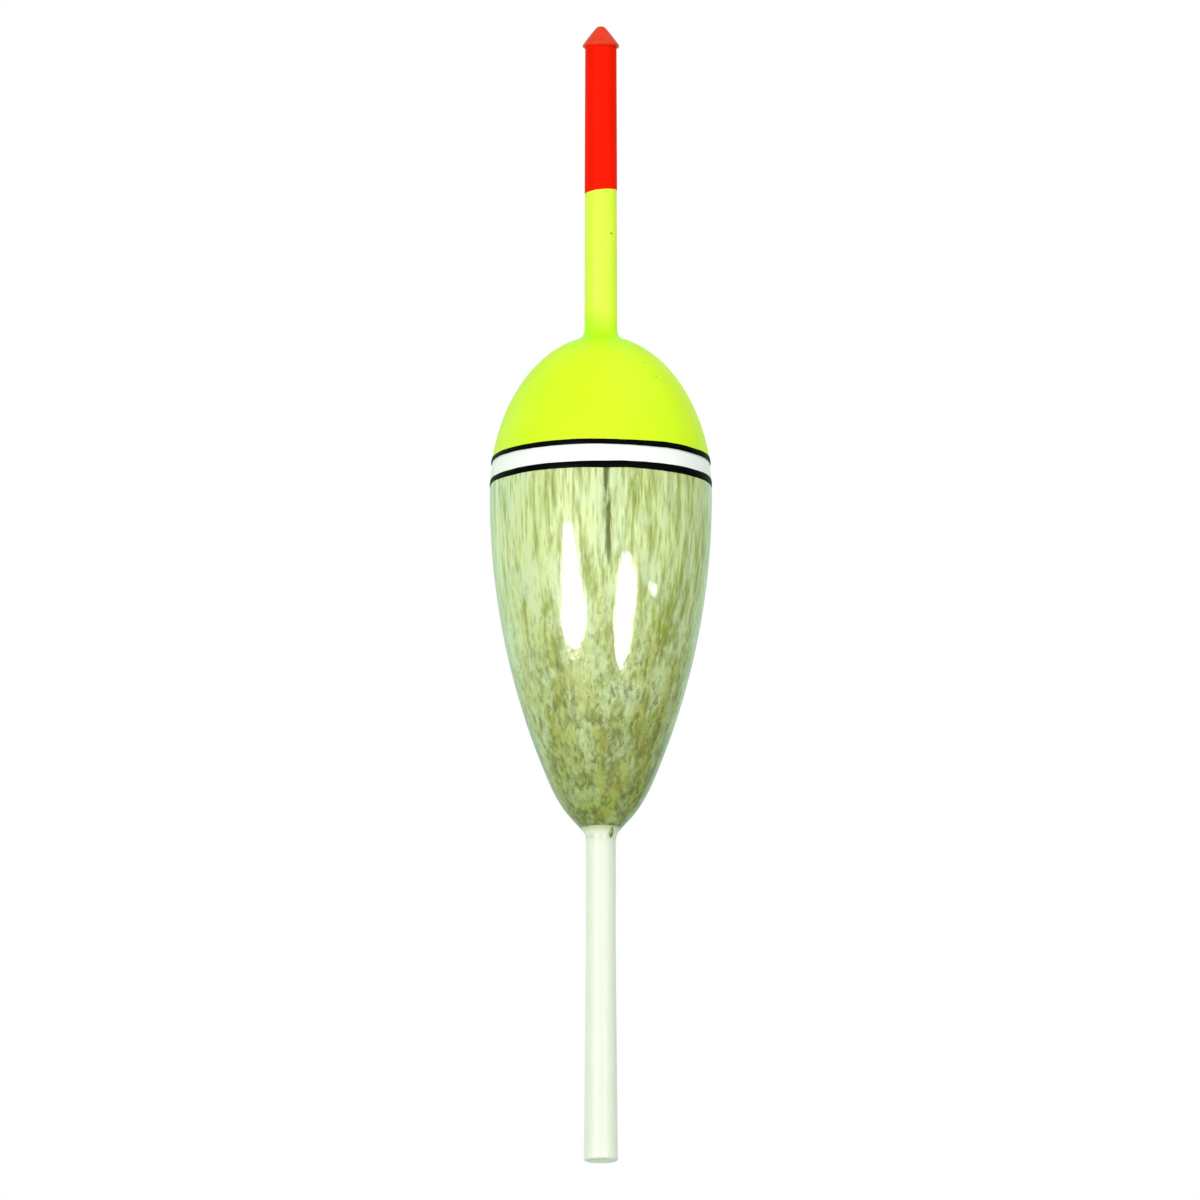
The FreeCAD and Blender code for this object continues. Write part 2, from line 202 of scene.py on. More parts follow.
def add(tree, kind, fed=None, **settings):
    """Adds a node with its settings. Each input, by name or index, takes a value, an output or a node's first one."""
    made = tree.nodes.new(kind)
    made.location = (len(tree.nodes) % 12 * 190, -(len(tree.nodes) // 12) * 330)
    for name, value in settings.items():
        setattr(made, name, value)
    for key, value in (fed or {}).items():
        if isinstance(value, bpy.types.Node):
            value = next(socket for socket in value.outputs if socket.enabled)
        if isinstance(value, bpy.types.NodeSocket):
            tree.links.new(value, made.inputs[key])
        elif made.inputs[key].type == "RGBA":
            made.inputs[key].default_value = (*value, 1)
        else:
            made.inputs[key].default_value = value
    return made


def product(tree, *factors):
    """Several values, multiplied one after another."""
    whole = factors[0]
    for factor in factors[1:]:
        whole = add(tree, "ShaderNodeMath", {0: whole, 1: factor}, operation="MULTIPLY")
    return whole


def new_tree(name, *inputs):
    """A Geometry Nodes tree that makes a piece from these inputs, each a name, a kind and a value."""
    tree = bpy.data.node_groups.new(name, "GeometryNodeTree")
    tree.is_modifier = True
    for label, kind, value in inputs:
        socket = tree.interface.new_socket(label, in_out="INPUT", socket_type="NodeSocket" + kind)
        if value is not None:
            socket.default_value = value
    tree.interface.new_socket("Piece", in_out="OUTPUT", socket_type="NodeSocketGeometry")
    return tree, add(tree, "NodeGroupInput").outputs


def turning_tree():
    """Turns the closed section that is the object's own mesh about Z.

    The section's "give" attribute says how far a point joins in each irregularity: x follows a wandering edge,
    y is the side of a brushed line that it is on, and z sinks with the waves in a dipped skin."""
    tree, given = new_tree(
        "TurnedSection",
        ("Section", "Geometry", None),
        ("Segments", "Int", 160),
        ("Waver", "Float", 0.0),
        ("Spread", "Float", 0.0),
        ("Turns of Waver", "Float", 2.0),
        ("Tilt", "Float", 0.0),
        ("Fuller to the Right", "Float", 0.0),
        ("Wave Depth", "Float", 0.0),
        ("Wave Length", "Float", 8 * MM),
        ("Sharp Angle", "Float", math.radians(35)),
        ("Seed", "Float", 1.0),
        ("Finish", "Material", None),
    )

    # A grid with one row for each point, the first one repeated, and one column for each place round the turn.
    points = add(tree, "GeometryNodeAttributeDomainSize", {"Geometry": given["Section"]}, component="MESH")
    rows = add(tree, "FunctionNodeIntegerMath", {0: points, 1: 1}, operation="ADD")
    columns = add(tree, "FunctionNodeIntegerMath", {0: given["Segments"], 1: 1}, operation="ADD")
    grid = add(tree, "GeometryNodeMeshGrid", {"Size X": 1.0, "Size Y": 1.0, "Vertices X": columns, "Vertices Y": rows})
    index = add(tree, "GeometryNodeInputIndex")
    column = add(tree, "FunctionNodeIntegerMath", {0: index, 1: rows}, operation="DIVIDE_FLOOR")
    row = add(tree, "FunctionNodeIntegerMath", {0: index, 1: rows}, operation="MODULO")
    point = add(tree, "FunctionNodeIntegerMath", {0: row, 1: points}, operation="MODULO")
    found = []
    for value in (
        add(tree, "GeometryNodeInputPosition"),
        add(tree, "GeometryNodeInputNamedAttribute", {"Name": "give"}, data_type="FLOAT_VECTOR"),
    ):
        fed = {"Geometry": given["Section"], "Value": value, "Index": point}
        found.append(add(tree, "GeometryNodeSampleIndex", fed, data_type="FLOAT_VECTOR"))
    place, give = found[0], add(tree, "ShaderNodeSeparateXYZ", {0: found[1]}).outputs

    share = add(tree, "ShaderNodeMath", {0: column, 1: given["Segments"]}, operation="DIVIDE")
    angle = add(tree, "ShaderNodeMath", {0: share, 1: math.tau}, operation="MULTIPLY")
    turned, outward = (
        add(tree, "ShaderNodeVectorRotate", {"Vector": start, "Angle": angle}, rotation_type="Z_AXIS")
        for start in (place, (1, 0, 0))
    )

    # Edge heights: a slow wander that both edges share, a second one that they mirror, and a tilt across X.
    later = add(tree, "ShaderNodeMath", {0: given["Seed"], 1: 7.3}, operation="ADD")
    heights = []
    for seed, reach, weight in ((given["Seed"], given["Waver"], give[0]), (later, given["Spread"], give[1])):
        fed = {"Vector": outward, "W": seed, "Scale": given["Turns of Waver"], "Detail": 2.0}
        wander = add(tree, "ShaderNodeTexNoise", fed, noise_dimensions="4D")
        swing = add(tree, "ShaderNodeMapRange", {0: wander, 1: 0.25, 2: 0.75, 3: -1.0, 4: 1.0})
        heights.append(product(tree, swing, reach, weight))
    across = add(tree, "ShaderNodeSeparateXYZ", {0: turned}).outputs[0]
    slope = product(tree, add(tree, "ShaderNodeMath", {0: given["Tilt"]}, operation="TANGENT"), across, give[0])
    fuller = add(tree, "ShaderNodeMath", {0: across, 1: given["Fuller to the Right"]}, operation="MULTIPLY")
    fuller = add(tree, "ShaderNodeMath", {0: fuller, 1: give[1], 2: heights[1]}, operation="MULTIPLY_ADD")
    height = add(tree, "ShaderNodeMath", {0: heights[0], 1: fuller}, operation="ADD")
    height = add(tree, "ShaderNodeMath", {0: height, 1: slope}, operation="ADD")
    lift = add(tree, "ShaderNodeCombineXYZ", {"Z": height})

    # Hollows in a dipped skin only ever go inwards, so the float keeps its size.
    per_wave = add(tree, "ShaderNodeMath", {0: 1.0, 1: given["Wave Length"]}, operation="DIVIDE")
    fed = {"Vector": turned, "W": given["Seed"], "Scale": per_wave, "Detail": 1.0}
    waves = add(tree, "ShaderNodeTexNoise", fed, noise_dimensions="4D")
    hollow = product(tree, waves, given["Wave Depth"], give[2])
    sunk = add(tree, "ShaderNodeVectorMath", {0: outward, "Scale": hollow}, operation="SCALE")
    shift = add(tree, "ShaderNodeVectorMath", {0: lift, 1: sunk}, operation="SUBTRACT")
    skin = add(tree, "GeometryNodeSetPosition", {"Geometry": grid, "Position": turned, "Offset": shift})

    welded = add(tree, "GeometryNodeMergeByDistance", {"Geometry": skin, "Distance": WELD})
    smooth = add(tree, "GeometryNodeSetShadeSmooth", {0: welded, "Shade Smooth": True}, domain="FACE")
    fold = {0: add(tree, "GeometryNodeInputMeshEdgeAngle"), 1: given["Sharp Angle"]}
    sharp = add(tree, "FunctionNodeCompare", fold, data_type="FLOAT", operation="GREATER_THAN")
    fed = {0: smooth, "Selection": sharp, "Shade Smooth": False}
    creased = add(tree, "GeometryNodeSetShadeSmooth", fed, domain="EDGE")
    real = add(tree, "GeometryNodeRealizeInstances", {0: creased})
    add(tree, "NodeGroupOutput", {0: add(tree, "GeometryNodeSetMaterial", {0: real, "Material": given["Finish"]})})
    return tree


def nib_tree():
    """Dust specks scattered on a painted skin: small flat grains, pressed into the surface that they settled on."""
    tree, given = new_tree(
        "DustNibs",
        ("Geometry", "Geometry", None),
        ("Skin", "Object", None),
        ("Per Square Metre", "Float", 15000.0),
        ("Lowest", "Float", 0.0),
        ("Smallest", "Float", 0.05 * MM),
        ("Largest", "Float", 0.13 * MM),
        ("Flatness", "Float", 0.35),
        ("Seed", "Int", 5),
        ("Finish", "Material", None),
    )
    skin = add(tree, "GeometryNodeObjectInfo", {"Object": given["Skin"]}).outputs["Geometry"]
    place = add(tree, "GeometryNodeInputPosition")
    fed = {0: place, 1: add(tree, "GeometryNodeInputNormal")}
    facing = add(tree, "ShaderNodeVectorMath", fed, operation="DOT_PRODUCT")
    height = add(tree, "ShaderNodeSeparateXYZ", {0: place}).outputs[2]
    outside, high = (
        add(tree, "FunctionNodeCompare", {0: value, 1: least}, data_type="FLOAT", operation="GREATER_THAN")
        for value, least in ((facing, 0.0), (height, given["Lowest"]))
    )
    chosen = add(tree, "FunctionNodeBooleanMath", {0: outside, 1: high}, operation="AND")
    fed = {"Mesh": skin, "Selection": chosen, "Density": given["Per Square Metre"], "Seed": given["Seed"]}
    spots = add(tree, "GeometryNodeDistributePointsOnFaces", fed).outputs
    speck = add(tree, "GeometryNodeMeshIcoSphere", {"Radius": 1.0, "Subdivisions": 2})
    fed = {2: given["Smallest"], 3: given["Largest"], "Seed": given["Seed"]}
    width = add(tree, "FunctionNodeRandomValue", fed, data_type="FLOAT")
    thick = add(tree, "ShaderNodeMath", {0: width, 1: given["Flatness"]}, operation="MULTIPLY")
    size = add(tree, "ShaderNodeCombineXYZ", {0: width, 1: width, 2: thick})
    fed = {"Points": spots["Points"], "Instance": speck, "Rotation": spots["Rotation"], "Scale": size}
    real = add(tree, "GeometryNodeRealizeInstances", {0: add(tree, "GeometryNodeInstanceOnPoints", fed)})
    smooth = add(tree, "GeometryNodeSetShadeSmooth", {0: real, "Shade Smooth": True}, domain="FACE")
    add(tree, "NodeGroupOutput", {0: add(tree, "GeometryNodeSetMaterial", {0: smooth, "Material": given["Finish"]})})
    return tree


def with_tree(piece, tree, values):
    """Runs a tree on the piece with these inputs and keeps the result as its own mesh, welded, faces outwards."""
    modifier = piece.modifiers.new(tree.name, "NODES")
    modifier.node_group = tree
    for item in tree.interface.items_tree:
        if item.item_type == "SOCKET" and item.in_out == "INPUT" and item.name in values:
            modifier[item.identifier] = values[item.name]
    bpy.context.view_layer.update()
    graph = bpy.context.evaluated_depsgraph_get()
    made = piece.evaluated_get(graph)
    mesh = bpy.data.meshes.new_from_object(made, preserve_all_data_layers=True, depsgraph=graph)
    start, piece.data = piece.data, mesh
    piece.modifiers.remove(modifier)
    bpy.data.meshes.remove(start)
    mesh.name = piece.name
    shape = bmesh.new()
    shape.from_mesh(mesh)
    bmesh.ops.remove_doubles(shape, verts=shape.verts, dist=WELD)
    bmesh.ops.recalc_face_normals(shape, faces=shape.faces)
    if not shape.faces or shape.calc_volume(signed=True) < 0:
        raise RuntimeError(f"{piece.name} came out empty or inside out")
    shape.to_mesh(mesh)
    shape.free()
    return piece


def new_piece(name, mesh):
    """An object with this mesh, in the scene."""
    piece = bpy.data.objects.new(name, mesh)
    bpy.context.scene.collection.objects.link(piece)
    return piece


def turned(name, section, finish, **values):
    """A closed section turned into a solid ring or shell. Each point is (radius, height) or (radius, height, give)."""
    count = len(section)
    mesh = bpy.data.meshes.new(name)
    ring = [(i, (i + 1) % count) for i in range(count)]
    mesh.from_pydata([(p[0], 0, p[1]) for p in section], ring, [])
    give = mesh.attributes.new("give", "FLOAT_VECTOR", "POINT")
    for point, stored in zip(section, give.data):
        stored.vector = point[2] if len(point) > 2 else (0, 0, 0)
    tree = bpy.data.node_groups.get("TurnedSection") or turning_tree()
    return with_tree(new_piece(name, mesh), tree, {"Finish": finish, **values})


def settle(piece, body, slot, *nodes):
    """The piece rides on its body and stands for these CAD nodes, which it hides. The slot is not used."""
    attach(piece, body)
    if nodes:
        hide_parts(*nodes)


# ---------------------------------------------------------------- sections


def span(start, end, count, give=(0, 0, 0)):
    """Points from start towards end, without the last one."""
    (r, z), (right, top) = start[:2], end
    return [(r + (right - r) * i / count, z + (top - z) * i / count, give) for i in range(count)]


def giving(points, give):
    """The same points, each joining in the irregularities this much."""
    return [(p[0], p[1], give) for p in points]


def eased(before, corner, after, count):
    """A corner rounded between two points, as a liquid coat rounds it."""
    found = []
    for i in range(count + 1):
        t = i / count
        points = zip(before, corner, after)
        found.append(tuple((1 - t) ** 2 * a + 2 * t * (1 - t) * b + t * t * c for a, b, c in points))
    return found


def long_side(low, high, count):
    """The arc from the shoulder that comes upright at the waist."""
    across, up = high[0] - low[0], high[1] - low[1]
    bend = (across**2 + up**2) / (2 * across)
    whole = math.asin(up / bend)
    turns = [whole * (1 - i / count) for i in range(count + 1)]
    return [(high[0] - bend * (1 - math.cos(t)), high[1] - bend * math.sin(t)) for t in turns]


def dome(radius, height, waist, low, high, count):
    """Points of the half ellipse above the waist, between two heights."""
    first, last = (math.asin(max(-1, min(1, (z - waist) / height))) for z in (low, high))
    turns = [first + (last - first) * i / count for i in range(count + 1)]
    return [(radius * math.cos(t), waist + height * math.sin(t)) for t in turns]


def neck_round(radius, height, waist, stem, top):
    """Where the round that runs down from the stem touches the dome: the dome's angle there and the round's radius."""
    low, high, halvings = math.radians(50), math.radians(89.9), 60
    for _ in range(halvings):
        t = (low + high) / 2
        lean = math.atan2(math.sin(t) / height, math.cos(t) / radius)
        bend = (top - waist - height * math.sin(t)) / math.sin(lean)
        if radius * math.cos(t) + bend * math.cos(lean) > stem + bend:
            low = t
        else:
            high = t
    return t, lean, bend


def painted_skin(radius, height, waist, low, stem, top, dome_rows, neck_rows):
    """A coat's outside: up the dome, round the neck and to the foot of the stem."""
    t, lean, bend = neck_round(radius, height, waist, stem, top)
    skin = dome(radius, height, waist, low, waist + height * math.sin(t), dome_rows)
    turns = [math.pi + lean * (1 - i / neck_rows) for i in range(1, neck_rows + 1)]
    return skin + [(stem + bend + bend * math.cos(a), top + bend * math.sin(a)) for a in turns]


def heights_of(scene):
    """Heights that several pieces share, from the CAD boxes."""
    body, coats = scene.float_body, scene.float_coats
    neck = WHITE[1].z
    waist = neck - coats.neck_rise - body.dome_height
    return {"foot": WOOD[0].z, "waist": waist, "neck": neck, "face": WOOD[1].z, "band": LACQUER[1].z}


# ---------------------------------------------------------------- materials


def new_finish(name):
    """An empty material, its tree and the piece's own coordinates."""
    finish = bpy.data.materials.get(name) or bpy.data.materials.new(name)
    finish.use_nodes = True
    finish.node_tree.nodes.clear()
    return finish, finish.node_tree, add(finish.node_tree, "ShaderNodeTexCoord").outputs["Object"]


def grain(tree, place, across, along, fed=None, kind="ShaderNodeTexNoise", start=(0, 0, 0)):
    """A pattern whose grains are so wide, and so long up the float."""
    stretch = {"Vector": place, "Location": start, "Scale": (1 / across, 1 / across, 1 / along)}
    return add(tree, kind, {"Vector": add(tree, "ShaderNodeMapping", stretch), "Scale": 1.0, **(fed or {})})


def shaded(tree, paint, pattern, darkest, low=USUAL[1], high=USUAL[2]):
    """The paint, darkened to this share of itself where the pattern is low."""
    shade = add(tree, "ShaderNodeMapRange", {0: pattern, 1: low, 2: high, 3: darkest, 4: 1.0})
    return add(tree, "ShaderNodeMix", {0: 1.0, 6: paint, 7: shade}, data_type="RGBA", blend_type="MULTIPLY")


def eased_share(tree, pattern, low, high, most=1.0, where=None):
    """How far the pattern has gone from low to high, up to this share, and only where another value lets it."""
    share = {0: pattern, 1: low, 2: high, 3: 0.0, 4: most}
    share = add(tree, "ShaderNodeMapRange", share, interpolation_type="SMOOTHSTEP")
    return share if where is None else product(tree, share, where)


def stained(tree, paint, stain, *share):
    """The paint, turned towards another colour by an eased share."""
    return add(tree, "ShaderNodeMix", {0: eased_share(tree, *share), 6: paint, 7: stain}, data_type="RGBA")


def lay(tree, skin, fed):
    """Ends a material: a Principled shader with these inputs, over a skin: a bump's strength, depth and pattern."""
    if skin:
        fed = {**fed, "Normal": add(tree, "ShaderNodeBump", dict(zip(("Strength", "Distance", "Height"), skin)))}
    add(tree, "ShaderNodeOutputMaterial", {0: add(tree, "ShaderNodeBsdfPrincipled", fed)})


def balsa_in_lacquer(colours):
    """Balsa, turned and sanded, then dipped twice in clear gloss lacquer.

    The grain runs along the float. Where the side is upright its pores and bands show as long streaks, and where the
    side tapers the same fibres are cut across and show as short dashes and dots, so the pattern is a solid one,
    stretched along Z."""
    finish, tree, place = new_finish("Balsa_turned_and_dipped_in_clear_lacquer")
    flat = add(tree, "ShaderNodeSeparateXYZ", {0: place}).outputs
    # Layers of grain by width and length in millimetres: bands are tints in the log, streaks the bundles of fibre,
    # hairs the sanded surface, drawn a little coarser than real fibre so that it shows, and dashes the same fibre cut
    # across. Each starts from its own place, so that no two line up.
    layers = {}
    for name, across, along in (
        ("bands", 3.0, 50.0),
        ("streaks", 1.0, 24.0),
        ("hairs", 0.50, 5.0),
        ("dashes", 0.60, 1.25),
        ("patches", 1.9, 5.5),
        ("flecks", 0.75, 1.5),
    ):
        rough = {"Detail": 3.0, "Roughness": 0.6, "Distortion": 0.35}
        start = (across, -across, 3 * across)
        layers[name] = grain(tree, place, across * MM, along * MM, rough, start=start)
    # Towards the foot the fibres are cut across and drink more lacquer, and the wood is darkened there; the darkening
    # is partly painted shade of the float's underside. The change wanders with the streaks.
    drift = add(tree, "ShaderNodeMath", {0: flat[2], 1: product(tree, layers["streaks"], 14 * MM)}, operation="ADD")
    soaked_and_painted_shade = eased_share(tree, drift, 77 * MM, 40 * MM)
    cut = eased_share(tree, drift, 78 * MM, 56 * MM)
    tone = add(tree, "ShaderNodeMix", {0: cut, 2: layers["hairs"], 3: layers["dashes"]}, data_type="FLOAT")
    tone = product(tree, tone, 0.42)
    for name, weight in (("bands", 0.26), ("streaks", 0.32)):
        tone = add(tree, "ShaderNodeMath", {0: layers[name], 1: weight, 2: tone}, operation="MULTIPLY_ADD")
    pale, dark = (
        add(tree, "ShaderNodeMix", {0: soaked_and_painted_shade, 6: dry, 7: wet}, data_type="RGBA")
        for dry, wet in ((colours.balsa_pale, colours.balsa_olive), (colours.balsa_olive, colours.balsa_deep))
    )
    wood = stained(tree, pale, dark, tone, 0.42, 0.60)
    # Chalky patches where the wood drank no lacquer, yellow ones where it drank most, and a few brown flecks.
    keep = add(tree, "ShaderNodeMapRange", {0: soaked_and_painted_shade, 1: 0.1, 2: 0.9, 3: 1.0, 4: 0.38})
    wood = stained(tree, wood, colours.balsa_chalky, layers["patches"], 0.46, 0.66, 0.60, keep)
    wood = stained(tree, wood, colours.balsa_warm, layers["patches"], 0.50, 0.34, 0.50, cut)
    wood = stained(tree, wood, colours.fleck, layers["flecks"], 0.55, 0.67, 0.68, cut)
    # Vessels: pores cut open, about 0.2 mm wide and 1.4 mm long.
    pores = grain(tree, place, 0.50 * MM, 3.2 * MM, {"Randomness": 1.0}, "ShaderNodeTexVoronoi")
    pores = eased_share(tree, pores, 0.34, 0.10, 0.34)
    wood = add(tree, "ShaderNodeMix", {0: pores, 6: wood, 7: colours.vessel}, data_type="RGBA")
    # One mineral streak that the blank had, down from the band at the front: it winds, and the fibres break it up.
    off = add(tree, "ShaderNodeMapRange", {0: layers["patches"], **USUAL, 3: -1.20 * MM, 4: -0.50 * MM})
    off = add(tree, "ShaderNodeMath", {0: flat[0], 1: off}, operation="ADD")
    off = add(tree, "ShaderNodeMath", {0: off}, operation="ABSOLUTE")
    streak = eased_share(tree, off, 0.50 * MM, 0.15 * MM)
    broken = add(tree, "ShaderNodeMapRange", {0: layers["hairs"], 1: 0.34, 2: 0.52, 3: 0.15, 4: 0.95})
    reach = eased_share(tree, drift, 70 * MM, 80 * MM)
    front = add(tree, "ShaderNodeMath", {0: flat[1], 1: 0.0}, operation="LESS_THAN")
    streak = product(tree, streak, broken, reach, front)
    wood = add(tree, "ShaderNodeMix", {0: streak, 6: wood, 7: colours.balsa_deep}, data_type="RGBA")
    # The lacquer has hollows of its own, about 4 mm across and twice as long, that bend a highlight. It also follows
    # the fibres a little, so the highlight has a ragged edge.
    waves = grain(tree, place, 3.6 * MM, 8 * MM, {"Detail": 1.0})
    over = add(tree, "ShaderNodeBump", {"Strength": 1.0, "Distance": 0.10 * MM, "Height": waves})
    over = add(tree, "ShaderNodeBump", {"Strength": 0.8, "Distance": 0.035 * MM, "Height": tone, "Normal": over})
    ridges = add(tree, "ShaderNodeMath", {0: tone, 1: pores}, operation="SUBTRACT")
    matt = {"Base Color": wood, "Roughness": 0.42, "Specular IOR Level": 0.3}
    gloss = {"Coat Weight": 1.0, "Coat Roughness": 0.05, "Coat IOR": 1.55, "Coat Normal": over}
    lay(tree, (0.5, 0.05 * MM, ridges), {**matt, **gloss})
    return finish


def chartreuse_enamel(colours):
    """Fluorescent float enamel, dipped: even and opaque, deeper where it gathered at the neck and thinner up the stem.

    Its pigment gives back more light than it catches, and it has a painted glow of its own, which evens out its
    shading."""
    finish, tree, place = new_finish("Enamel_fluorescent_chartreuse_dipped")
    height = add(tree, "ShaderNodeSeparateXYZ", {0: place}).outputs[2]
    drift = add(tree, "ShaderNodeTexNoise", {"Vector": place, "Scale": 1 / (3.0 * MM), "Detail": 2.0})
    wander = add(tree, "ShaderNodeMath", {0: height, 1: product(tree, drift, 2.4 * MM)}, operation="ADD")
    top = WHITE[1].z
    paint = stained(tree, colours.chartreuse, colours.chartreuse_stem, wander, top - 0.5 * MM, top + 4 * MM)
    below = eased_share(tree, wander, top - 3.0 * MM, top + 0.4 * MM)
    pooled = colours.chartreuse_pooled
    paint = stained(tree, paint, pooled, wander, top + 3.2 * MM, top + 0.4 * MM, 1.0, below)
    # Pigment that didn't quite mix: cloudy patches a few millimetres wide.
    paint = shaded(tree, paint, drift, 0.94)
    # The skin of a dipped enamel: flow waves about 1.2 mm apart.
    fed = {"Vector": place, "Scale": 1 / (1.2 * MM), "Detail": 3.0, "Roughness": 0.4}
    waves = add(tree, "ShaderNodeTexNoise", fed)
    gloss = add(tree, "ShaderNodeMapRange", {0: waves, **USUAL, 3: 0.30, 4: 0.42})
    # A painted glow: emission that lightens the enamel's shaded sides.
    painted_glow = {"Emission Color": colours.chartreuse, "Emission Strength": 0.22}
    lay(tree, (0.35, 0.02 * MM, waves), {"Base Color": paint, "Roughness": gloss, "Specular IOR Level": 0.25, **painted_glow})
    return finish


def red_enamel(colours):
    """Fluorescent red enamel dipped over the chartreuse: opaque, with faint vertical runs where it drained."""
    finish, tree, place = new_finish("Enamel_fluorescent_red_dipped")
    runs = grain(tree, place, 0.9 * MM, 7 * MM, {"Detail": 3.0})
    paint = shaded(tree, colours.red, runs, 0.90)
    gloss = add(tree, "ShaderNodeMapRange", {0: runs, **USUAL, 3: 0.30, 4: 0.42})
    # A painted glow: faint emission on the red enamel.
    painted_glow = {"Emission Color": colours.red, "Emission Strength": 0.06}
    lay(tree, (0.4, 0.02 * MM, runs), {"Base Color": paint, "Roughness": gloss, "Specular IOR Level": 0.02, **painted_glow})
    return finish


def white_undercoat(colours):
    """White enamel undercoat: chalky, with the faintest grain of the wood raised under it, and a little painted glow.
    """
    finish, tree, place = new_finish("Enamel_white_undercoat")
    fibres = grain(tree, place, 0.8 * MM, 12 * MM, {"Detail": 3.0})
    paint = shaded(tree, colours.white, fibres, 0.96)
    # A painted glow, tinted mint, that lightens the band.
    painted_glow = {"Emission Color": (0.80, 1.0, 0.78), "Emission Strength": 0.07}
    lay(tree, (0.4, 0.02 * MM, fibres), {"Base Color": paint, "Roughness": 0.38, "Specular IOR Level": 0.4, **painted_glow})
    return finish


def black_enamel(colours):
    """Black enamel laid by a fine brush as the float spun: marked by its bristles, and greyer where it ran thin."""
    finish, tree, place = new_finish("Enamel_black_brushed_line")
    bristles = grain(tree, place, 4 * MM, 0.09 * MM, {"Detail": 2.0})
    thin = add(tree, "ShaderNodeTexNoise", {"Vector": place, "Scale": 1 / (9 * MM), "Detail": 1.0})
    thin = add(tree, "ShaderNodeMapRange", {0: thin, 1: 0.45, 2: 0.75, 3: 0.0, 4: 0.006})
    thin = product(tree, thin, bristles)
    paint = add(tree, "ShaderNodeMix", {0: thin, 6: colours.black, 7: colours.white}, data_type="RGBA")
    lay(tree, (0.5, 0.015 * MM, bristles), {"Base Color": paint, "Roughness": 0.4, "Specular IOR Level": 0.02})
    return finish


def drawn_tube_plastic(colours):
    """Natural polypropylene, drawn as tube: milky and satin, with fine die lines along it.

    It lets light through its wall, and a painted glow lightens it all over, even in its bore."""
    finish, tree, place = new_finish("Polypropylene_drawn_natural")
    lines = grain(tree, place, 0.35 * MM, 60 * MM, {"Detail": 3.0})
    cloud = add(tree, "ShaderNodeTexNoise", {"Vector": place, "Scale": 1 / (6 * MM), "Detail": 2.0})
    paint = shaded(tree, colours.tube, product(tree, lines, cloud), 0.94, 0.12, 0.40)
    milk = {"Subsurface Weight": 0.7, "Subsurface Radius": (0.8, 1.0, 0.8), "Subsurface Scale": 1.5 * MM}
    # A painted glow: emission that lightens the tube and its bore.
    painted_glow = {"Emission Color": colours.tube, "Emission Strength": 0.16}
    lay(tree, (0.4, 0.01 * MM, lines), {"Base Color": paint, "Roughness": 0.36, "IOR": 1.49, **milk, **painted_glow})
    return finish


def cured_glue(colours):
    """Clear glue, cured to a pale yellow-green bead with small bubbles: thin over the wood, thick against the tube."""
    finish, tree, place = new_finish("Glue_cured_clear_bead")
    cloud = add(tree, "ShaderNodeTexNoise", {"Vector": place, "Scale": 1 / (0.9 * MM), "Detail": 3.0})
    bubbles = add(tree, "ShaderNodeTexVoronoi", {"Vector": place, "Scale": 1 / (0.45 * MM)})
    height = add(tree, "ShaderNodeSeparateXYZ", {0: place}).outputs[2]
    height = add(tree, "ShaderNodeMath", {0: height, 1: product(tree, cloud, 0.9 * MM)}, operation="ADD")
    low, high = MENISCUS[0].z + 0.45 * MM, MENISCUS[1].z + 0.65 * MM
    paint = stained(tree, colours.glue, colours.balsa_olive, height, low, high, 0.62)
    paint = shaded(tree, shaded(tree, paint, cloud, 0.90), bubbles, 0.94, 0.10, 0.22)
    milk = {"Subsurface Weight": 0.4, "Subsurface Radius": (0.8, 1.0, 0.5), "Subsurface Scale": 0.8 * MM}
    # A painted glow: emission that lightens the bead.
    painted_glow = {"Emission Color": colours.glue, "Emission Strength": 0.12}
    lay(tree, (0.5, 0.04 * MM, cloud), {"Base Color": paint, "Roughness": 0.24, "IOR": 1.5, **milk, **painted_glow})
    return finish


def moulded_plug_plastic(colours):
    """Red polystyrene, injection moulded: satin, with faint flow marks. It lets light in and glows orange."""
    finish, tree, place = new_finish("Polystyrene_moulded_translucent_red")
    fed = {"Vector": place, "Scale": 1 / (1.1 * MM), "Detail": 3.0, "Distortion": 0.8}
    flow = add(tree, "ShaderNodeTexNoise", fed)
    gloss = {"Roughness": 0.3, "IOR": 1.55, "Specular IOR Level": 0.18, "Transmission Weight": 0.08}
    milk = {"Subsurface Weight": 0.25, "Subsurface Radius": (1.2, 0.35, 0.2), "Subsurface Scale": 0.8 * MM}
    lay(tree, (0.3, 0.03 * MM, flow), {"Base Color": shaded(tree, colours.plug, flow, 0.86), **gloss, **milk})
    return finish


def painted_dust(colours):
    """Dust caught under the last film of enamel: matt, darker than the paint round it and never quite one colour."""
    finish, tree, place = new_finish("Dust_under_enamel")
    patch = add(tree, "ShaderNodeTexNoise", {"Vector": place, "Scale": 1 / (0.5 * MM), "Detail": 2.0})
    shade = add(tree, "ShaderNodeMapRange", {0: patch, **USUAL, 3: 0.0, 4: 1.0})
    paint = add(tree, "ShaderNodeMix", {0: shade, 6: colours.nib, 7: colours.chartreuse}, data_type="RGBA")
    lay(tree, None, {"Base Color": paint, "Roughness": 0.6, "Specular IOR Level": 0.2})
    return finish


def paper_sweep():
    """Matt white background paper: pale, with the faint tooth of its surface."""
    finish, tree, place = new_finish("Paper_matt_white_sweep")
    tooth = add(tree, "ShaderNodeTexNoise", {"Vector": place, "Scale": 260.0, "Detail": 2.0})
    shade = add(tree, "ShaderNodeMapRange", {0: tooth, **USUAL, 3: 0.90, 4: 0.93})
    lay(tree, None, {"Base Color": shade, "Roughness": 0.85, "Specular IOR Level": 0.1})
    return finish


# ---------------------------------------------------------------- operators


